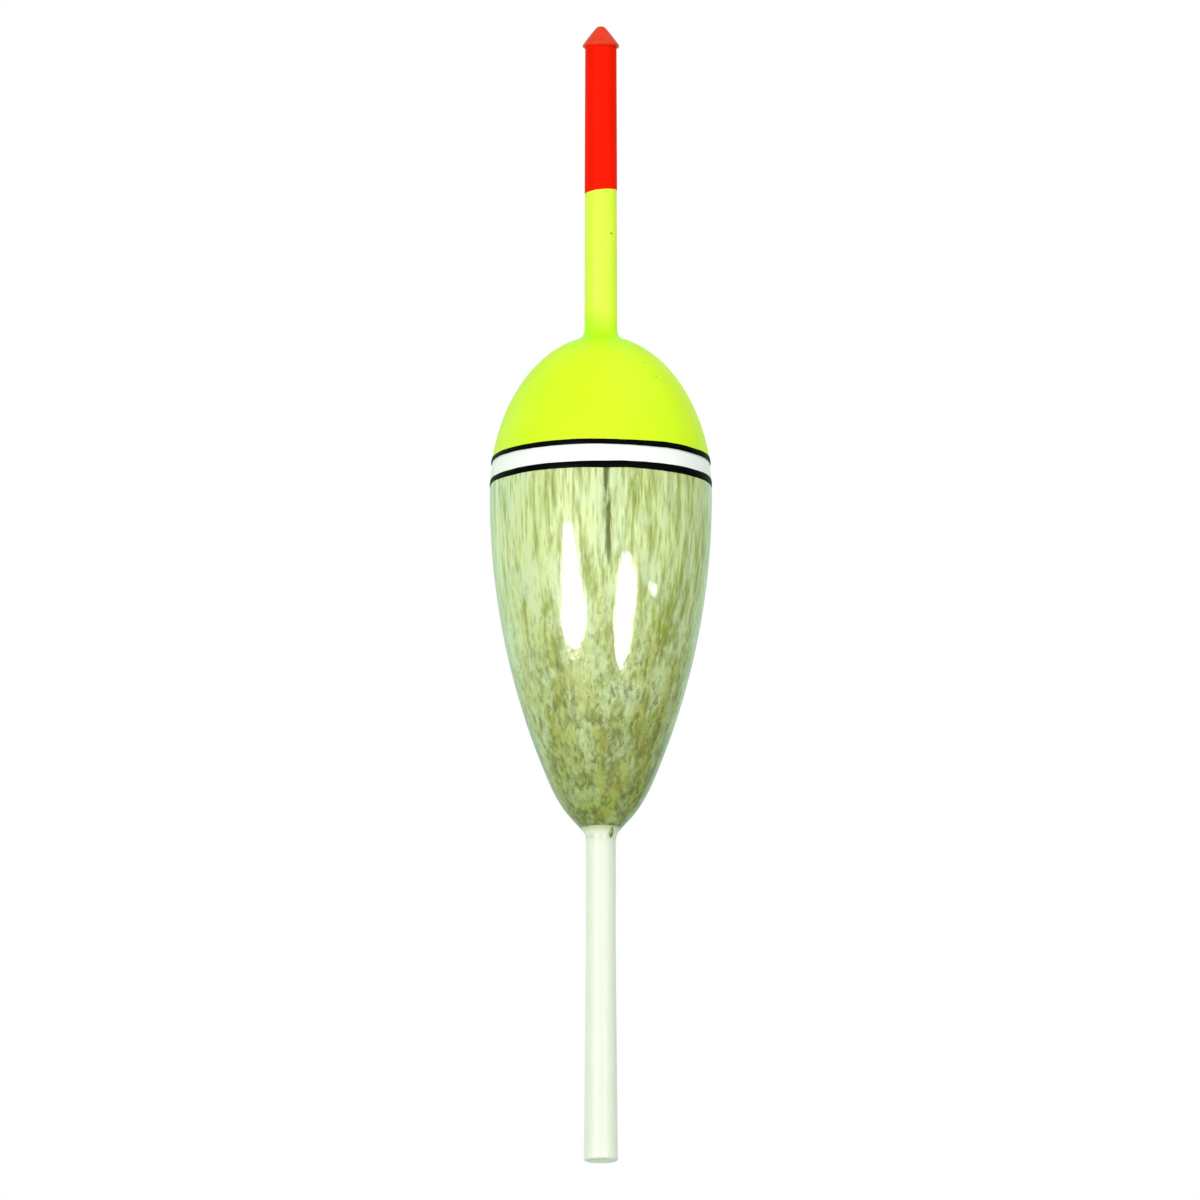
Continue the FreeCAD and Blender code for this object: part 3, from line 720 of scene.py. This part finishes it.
class TurnBody(bpy.types.Operator):
    """Turns the balsa body with its clear lacquer"""

    bl_idname = "slip_float.turn_body"
    bl_label = "Lacquered Body"

    def execute(self, context):
        sizes, at = context.scene.float_body, heights_of(context.scene)
        film = sizes.lacquer
        foot = (sizes.foot_radius, at["foot"])
        shoulder = (sizes.shoulder_radius + film, at["foot"] + sizes.shoulder_rise)
        side = long_side(shoulder, (sizes.waist_radius + film, at["waist"]), 70)
        # The corner at the shoulder is rounded by sanding and by the lacquer over it: from so far down the cone at the
        # foot, as a share of it, to so many points up the side.
        down, up = 0.55, 5
        low = tuple(s + (f - s) * down for s, f in zip(shoulder, foot))
        skin = span(foot, low, 6) + eased(low, shoulder, side[up], 10) + side[up + 1 :]
        radius, height = sizes.waist_radius, sizes.dome_height
        skin += dome(radius + film, height + film, at["waist"], at["waist"], at["band"], 4)[1:]
        under = dome(radius, height, at["waist"], at["band"], at["face"], 24)
        section = span((sizes.bore_radius, at["foot"]), foot, 2) + giving(skin, WAVY) + under
        section += span((sizes.bore_radius, at["face"]), (sizes.bore_radius, at["foot"]), 20)
        finish = balsa_in_lacquer(context.scene.float_colours)
        waves = {"Wave Depth": sizes.lacquer_waves, "Wave Length": 9 * MM, "Seed": 3.0}
        body = turned("LacqueredBody", section, finish, Segments=192, **waves)
        settle(body, "float", "lacquer", "wood_body", "clear_lacquer")

        # One run of lacquer, dark with sanding dust, hung from the foot's edge and set against the tube: a drop that
        # thins upwards and leans out.
        half_wide, half_high, thinned, lean = 0.24 * MM, 0.66 * MM, 0.50, 0.24
        inside, below, bearing = 0.25 * MM, 0.62 * MM, math.radians(36)
        away = Vector((math.sin(bearing), -math.cos(bearing), 0))
        shape = bmesh.new()
        bmesh.ops.create_icosphere(shape, subdivisions=4, radius=1)
        for vert in shape.verts:
            wide = half_wide * (1 - thinned * max(0, vert.co.z))
            high = vert.co.z * half_high
            out = away * (sizes.foot_radius - inside + lean * high)
            vert.co = Vector((vert.co.x * wide, vert.co.y * wide, high)) + out + Vector((0, 0, at["foot"] - below))
        for face in shape.faces:
            face.smooth = True
        run = new_piece("LacquerRun", bpy.data.meshes.new("LacquerRun"))
        shape.to_mesh(run.data)
        shape.free()
        run.data.materials.append(finish)
        settle(run, "float", "lacquer")
        return {"FINISHED"}


class DipCoats(bpy.types.Operator):
    """Dips the dome and stem in white, chartreuse and red"""

    bl_idname = "slip_float.dip_coats"
    bl_label = "Dipped Coats"

    def execute(self, context):
        scene = context.scene
        sizes, coats, stem, at = scene.float_body, scene.float_coats, scene.float_stem, heights_of(scene)
        colours = scene.float_colours
        radius, height = sizes.waist_radius, sizes.dome_height
        wood = dome(radius, height, at["waist"], at["band"], at["face"], 24)
        film, bore, waist, neck = coats.white, stem.radius + APART, at["waist"], at["neck"]
        skin = painted_skin(radius + film, height + film, waist, at["band"], sizes.bore_radius, neck, 40, 12)
        section = giving(skin, WAVY) + span((bore, neck), (bore, at["face"]), 3) + list(reversed(wood))
        waves = {"Wave Depth": 0.01 * MM, "Seed": 5.0}
        white = turned("WhiteBand", section, white_undercoat(colours), Segments=160, **waves)
        settle(white, "float", "white_paint", "white_base_coat")

        # The chartreuse runs on a little under the black line, and reaches into the white and the tube by its bites.
        film, under_line, bite, tube_bite = coats.white + coats.chartreuse, 0.15 * MM, 0.07 * MM, 0.03 * MM
        low, tip = COLOUR[0].z - under_line, TUBE[1].z
        foot, top = stem.radius + coats.stem_paint_low, stem.radius + coats.stem_paint_high
        skin = painted_skin(radius + film, height + film, waist, low, foot, neck, 56, 16)
        inner = painted_skin(radius + film - bite, height + film - bite, waist, low, foot - tube_bite, neck, 40, 12)
        section = giving(skin[:-1], WAVY) + span(skin[-1], (top, tip), 40, (0, 0, 0.6)) + [(top, tip)]
        section += [(top - tube_bite, tip)] + giving(reversed(inner), WAVY)
        waves = {"Wave Depth": 0.02 * MM, "Wave Length": 7 * MM, "Seed": 11.0}
        colour_coat = turned("ChartreuseDip", section, chartreuse_enamel(colours), Segments=160, **waves)
        settle(colour_coat, "float", "chartreuse_paint", "chartreuse_coat")

        # The red's lower edge is a thin round bead that hangs below the band on a tilted line.
        low = RED[0].z
        wet = top + (foot - top) * (tip - low) / (tip - neck)
        loose, hang = (1, 0, 0.3), 0.22 * MM
        edge = low - hang
        section = [
            (wet - APART, edge, loose),
            (wet + 0.02 * MM, edge + 0.02 * MM, loose),
            (wet + coats.red * 0.9, edge + 0.1 * MM, loose),
        ]
        section += span((wet + coats.red, edge + 0.3 * MM), (top + coats.red, tip), 30, (0, 0, 0.3))
        section += [(top + coats.red, tip), (top - APART, tip)]
        waves = {"Turns of Waver": 1.5, "Wave Depth": 0.015 * MM, "Wave Length": 5 * MM, "Seed": 2.0}
        waves |= {"Waver": 0.03 * MM, "Tilt": coats.red_tilt}
        red = turned("RedTip", section, red_enamel(colours), Segments=96, **waves)
        settle(red, "float", "red_paint", "red_tip_coat")
        return {"FINISHED"}


class BrushLines(bpy.types.Operator):
    """Brushes the two black lines that frame the white band"""

    bl_idname = "slip_float.brush_lines"
    bl_label = "Brushed Lines"

    def execute(self, context):
        scene = context.scene
        sizes, coats, at = scene.float_body, scene.float_coats, heights_of(scene)
        finish = black_enamel(scene.float_colours)
        rows, sunk = 8, 0.06 * MM
        # Each line's run is how wet its paint was: it ran so many times the usual distance past its band.
        for name, node, box, film, run, seed in (
            ("LowerBlackLine", "lower_black_line", LOWER_LINE, sizes.lacquer, 1.2, 4.0),
            ("UpperBlackLine", "upper_black_line", UPPER_LINE, coats.white + coats.chartreuse, 0.9, 9.0),
        ):
            low, high = box[0].z - coats.line_run * run, box[1].z + coats.line_run * run
            section = []
            for outside in (True, False):
                for i in range(rows + 1):
                    t = i / rows if outside else 1 - i / rows
                    # A brushed line is a flat bead: full in the middle and thin at its edges.
                    bead = coats.line * (0.25 + 0.75 * math.sin(math.pi * t) ** 0.7)
                    proud = film + bead if outside else film - sunk
                    z = low + (high - low) * t
                    r = dome(sizes.waist_radius + proud, sizes.dome_height + proud, at["waist"], z, z, 1)[0][0]
                    section.append((r, z, (1, 2 * t - 1, 0)))
            edges = {"Waver": coats.line_waver, "Spread": coats.line_waver * 0.7, "Turns of Waver": 2.2, "Seed": seed}
            edges |= {"Fuller to the Right": coats.line_fuller * (run - 0.5), "Sharp Angle": math.radians(60)}
            settle(turned(name, section, finish, Segments=256, **edges), "float", "black_paint", node)
        return {"FINISHED"}


class DrawTube(bpy.types.Operator):
    """Draws the tube with its flared lower end, rounded lip and reamed socket"""

    bl_idname = "slip_float.draw_tube"
    bl_label = "Line Tube"

    def execute(self, context):
        sizes = context.scene.float_stem
        low, high = TUBE[0].z, TUBE[1].z
        lip, wide, wavy, chamfer = sizes.lip, sizes.flare_radius, (0, 0, 0.5), 0.1 * MM
        turns = [math.radians(15 * i) for i in range(7)]
        outer = [(wide - lip + lip * math.sin(t), low + lip - lip * math.cos(t)) for t in turns]
        rise = sizes.flare_length - lip
        for i in range(1, 31):
            t = i / 30
            outer.append((sizes.radius + (wide - sizes.radius) * (1 - t), low + lip + rise * t, wavy))
        outer += span((sizes.radius, low + sizes.flare_length + 1 * MM), (sizes.radius, high), 50, wavy)
        outer.append((sizes.radius, high))
        floor, bore = high - sizes.socket_depth, sizes.bore_radius
        inner = [(sizes.socket_radius, high), (sizes.socket_radius, floor), (bore, floor)]
        inner += span((bore, floor - 1 * MM), (bore, low + chamfer), 40)
        inner += [(bore, low + chamfer), (bore + chamfer, low)]
        finish = drawn_tube_plastic(context.scene.float_colours)
        waves = {"Wave Depth": 0.02 * MM, "Wave Length": 11 * MM, "Seed": 6.0}
        tube = turned("DrawnTube", outer + inner, finish, Segments=96, **waves)
        settle(tube, "float", "tube_plastic", "line_tube")
        return {"FINISHED"}


class SealGlue(bpy.types.Operator):
    """Runs the bead of glue round the tube under the body, and gives the hidden glue its finish"""

    bl_idname = "slip_float.seal_glue"
    bl_label = "Glue"

    def execute(self, context):
        scene = context.scene
        foot, stem = scene.float_body.foot_radius, scene.float_stem.radius
        finish = cured_glue(scene.float_colours)
        low, high = MENISCUS[0].z, MENISCUS[1].z
        # A hollow bead: its toe feathers out down the tube, and its rim laps the wood's edge and is set into the wood.
        toe, hollow, into = 0.5 * MM, (stem + 0.16 * MM, high - 0.35 * MM), high + 0.07 * MM
        lap, rows = 0.06 * MM, 14
        bead = eased((stem - APART, low - toe), hollow, (foot + lap, high + lap), rows)
        section = [(r, z, (1 - i / rows, 0, 0)) for i, (r, z) in enumerate(bead)]
        section += [(foot - lap, into), (stem - 2 * APART, into)]
        edge = {"Waver": 0.22 * MM, "Turns of Waver": 1.3, "Seed": 8.0}
        settle(turned("GlueBead", section, finish, Segments=96, **edge), "float", "glue", "lower_glue_fillet")
        for node in ("bore_glue", "upper_glue_fillet"):
            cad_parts[node].data.materials.clear()
            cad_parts[node].data.materials.append(finish)
        return {"FINISHED"}


class MouldPlug(bpy.types.Operator):
    """Moulds the tip plug: cone head with its rim, hollow shank and line hole"""

    bl_idname = "slip_float.mould_plug"
    bl_label = "Tip Plug"

    def execute(self, context):
        sizes = context.scene.float_plug
        base, tip, foot = PLUG[1].z - sizes.head_height, PLUG[1].z, PLUG[0].z
        head, shank, hole, funnel = sizes.head_radius, sizes.shank_radius, sizes.hole_radius, sizes.funnel_radius
        nose, rim = (sizes.nose_radius, tip - sizes.nose_height), base + sizes.rim
        chamfer, edge, swell, cup = 0.3 * MM, 0.05 * MM, 0.03 * MM, 0.4 * MM
        outer = [(shank - chamfer, foot)] + span((shank, foot + chamfer), (shank, base), 16)
        outer += [(shank, base), (head - edge, base), (head, base + edge), (head, rim)]
        # The cone's side swells slightly between the rim and the nose, and the nose is rounded off up to the hole.
        middle = ((head + nose[0]) / 2 + swell, (rim + nose[1]) / 2 + swell)
        outer += eased((head - 0.03 * MM, rim + 0.02 * MM), middle, nose, 18)
        outer += eased(nose, (nose[0] * 0.55, tip), (hole + edge, tip), 8)[1:]
        # Inside, the line hole is chamfered at its mouth and widens to the funnel across the level of the tube's end.
        inner = [(hole, tip - 0.06 * MM)] + span((hole, tip - 0.3 * MM), (hole, base + cup), 6)
        inner += [(hole, base + cup), (funnel, base - cup)]
        inner += span((funnel, base - 1 * MM), (funnel, foot), 12) + [(funnel, foot)]
        finish = moulded_plug_plastic(context.scene.float_colours)
        settle(turned("TipPlug", outer + inner, finish, Segments=96), "tip_plug", "plug_plastic", "tip_plug")
        return {"FINISHED"}


class ScatterNibs(bpy.types.Operator):
    """Scatters the few specks of dust that settled in the wet chartreuse"""

    bl_idname = "slip_float.scatter_nibs"
    bl_label = "Dust Nibs"

    def execute(self, context):
        skin = bpy.data.objects.get("ChartreuseDip")
        if skin is None:
            raise RuntimeError("dip the coats before the dust settles on them")
        piece = new_piece("DustNibs", bpy.data.meshes.new("DustNibs"))
        finish, above_line = painted_dust(context.scene.float_colours), 1.5 * MM
        spread = {"Per Square Metre": 14000.0, "Lowest": COLOUR[0].z + above_line, "Seed": 5}
        with_tree(piece, nib_tree(), {"Skin": skin, "Finish": finish, **spread})
        settle(piece, "float", "chartreuse_paint")
        return {"FINISHED"}


class SetStudio(bpy.types.Operator):
    """Sets the camera, softboxes, pale floor and white room"""

    bl_idname = "slip_float.set_studio"
    bl_label = "Studio"

    def execute(self, context):
        scene, studio = context.scene, context.scene.float_studio
        aim = Vector((-0.1 * MM, 0, (CAD_BOX[0].z + CAD_BOX[1].z) / 2 - 0.92 * MM))

        lens = bpy.data.cameras.new("Camera")
        lens.lens, lens.sensor_width = studio.lens, 36
        camera = bpy.data.objects.new("Camera", lens)
        scene.collection.objects.link(camera)
        back = Vector((0, -math.cos(studio.elevation), math.sin(studio.elevation)))
        camera.location = aim + back * studio.distance
        camera.rotation_euler = (-back).to_track_quat("-Z", "Y").to_euler()
        scene.camera = camera

        # The windows are oval softboxes a metre away that show only in the gloss, two on the left and two on the right
        # for the lacquer's highlights. The keys are bounced off the ceiling and walls, so they light the float but
        # don't show in its gloss. The walls do both. Bearings and elevations are in degrees, sizes in metres.
        for name, shape, bearing, elevation, wide, tall, strength, in_gloss, in_matt in (
            ("WindowLeft", "ELLIPSE", -34, -5.0, 0.36, 0.36, 1.6, True, False),
            ("WindowLeftLow", "ELLIPSE", -31.5, -10.0, 0.56, 0.21, 1.5, True, False),
            ("WindowRight", "ELLIPSE", 27.5, -10.0, 0.40, 0.35, 1.6, True, False),
            ("WindowSmall", "ELLIPSE", 60, -4, 0.15, 0.03, 1.6, True, False),
            ("KeyLeft", "RECTANGLE", -22, -2, 0.60, 0.60, 0.50, False, True),
            ("KeyRight", "RECTANGLE", 32, -4, 0.60, 0.60, 0.19, False, True),
            ("KeyHigh", "RECTANGLE", 55, 58, 0.60, 0.60, 0.28, False, True),
            ("WallLeft", "RECTANGLE", -122, 0, 0.95, 1.5, 0.036, True, True),
            ("WallRight", "RECTANGLE", 150, 0, 0.40, 1.3, 0.030, True, True),
            ("FillBack", "RECTANGLE", 180, 20, 0.6, 0.6, 0.2, False, True),
        ):
            light = bpy.data.lights.new(name, "AREA")
            light.shape, light.size, light.size_y = shape, wide, tall
            light.color = studio.back_tint if name.startswith("Wall") else (1, 1, 1)
            light.energy = studio.window * strength * math.pi * wide * tall * (math.pi / 4 if shape == "ELLIPSE" else 1)
            lamp = bpy.data.objects.new(name, light)
            scene.collection.objects.link(lamp)
            b, e = math.radians(bearing), math.radians(elevation)
            toward = Vector((math.sin(b) * math.cos(e), -math.cos(b) * math.cos(e), math.sin(e)))
            lamp.location = aim + toward
            lamp.rotation_euler = toward.to_track_quat("Z", "Y").to_euler()
            lamp.visible_camera = False
            lamp.visible_glossy, lamp.visible_diffuse = in_gloss, in_matt

        floor = new_piece("PaleFloor", bpy.data.meshes.new("PaleFloor"))
        shape = bmesh.new()
        bmesh.ops.create_grid(shape, x_segments=8, y_segments=8, size=20)
        bmesh.ops.translate(shape, verts=shape.verts, vec=(0, 0, -studio.floor_drop))
        shape.to_mesh(floor.data)
        shape.free()
        floor.data.materials.append(paper_sweep())

        world = bpy.data.worlds.new("WhiteRoom")
        scene.world = world
        world.use_nodes = True
        tree = world.node_tree
        tree.nodes.clear()
        toward = add(tree, "ShaderNodeSeparateXYZ", {0: add(tree, "ShaderNodeTexCoord").outputs["Generated"]}).outputs
        # Behind the float the room has the tint of its walls. Its right side is the darker one, so the lacquer's right
        # edge is the deeper green.
        back = [studio.behind * c for c in studio.back_tint]
        room = stained(tree, [studio.fill] * 3, back, toward[1], -0.2, 0.7)
        right = {0: toward[0], 1: 0.1, 2: 0.8, 3: 1.0, 4: 0.64}
        right = add(tree, "ShaderNodeMapRange", right, interpolation_type="SMOOTHSTEP")
        room = add(tree, "ShaderNodeMix", {0: 1.0, 6: room, 7: right}, data_type="RGBA", blend_type="MULTIPLY")
        # The camera itself sees plain white.
        eye = add(tree, "ShaderNodeLightPath").outputs["Is Camera Ray"]
        room = add(tree, "ShaderNodeMix", {0: eye, 6: room, 7: (1, 1, 1)}, data_type="RGBA")
        room = add(tree, "ShaderNodeBackground", {"Color": room, "Strength": 1.0})
        add(tree, "ShaderNodeOutputWorld", {0: room})
        scene.view_settings.view_transform = "Standard"
        return {"FINISHED"}


STEPS = (TurnBody, DipCoats, BrushLines, DrawTube, SealGlue, MouldPlug, ScatterNibs, SetStudio)
GROUPS = {
    "float_body": BodySizes,
    "float_coats": CoatSizes,
    "float_stem": StemSizes,
    "float_plug": PlugSizes,
    "float_colours": FloatColours,
    "float_studio": StudioSettings,
}


class SlipFloatPanel(bpy.types.Panel):
    bl_idname = "VIEW3D_PT_slip_float"
    bl_label = "Slip Float"
    bl_space_type = "VIEW_3D"
    bl_region_type = "UI"
    bl_category = "Slip Float"

    def draw(self, context):
        for step in STEPS:
            self.layout.operator(step.bl_idname)
        for name, group in GROUPS.items():
            box = self.layout.box()
            box.label(text=group.__name__)
            for prop in group.__annotations__:
                box.prop(getattr(context.scene, name), prop)


CLASSES = (*GROUPS.values(), *STEPS, SlipFloatPanel)


def register():
    for cls in CLASSES:
        bpy.utils.register_class(cls)
    for name, group in GROUPS.items():
        setattr(bpy.types.Scene, name, PointerProperty(type=group))


def unregister():
    for name in GROUPS:
        delattr(bpy.types.Scene, name)
    for cls in reversed(CLASSES):
        bpy.utils.unregister_class(cls)


def main():
    register()
    for step in STEPS:
        group, name = step.bl_idname.split(".")
        getattr(getattr(bpy.ops, group), name)()


if __name__ == "__main__":
    main()
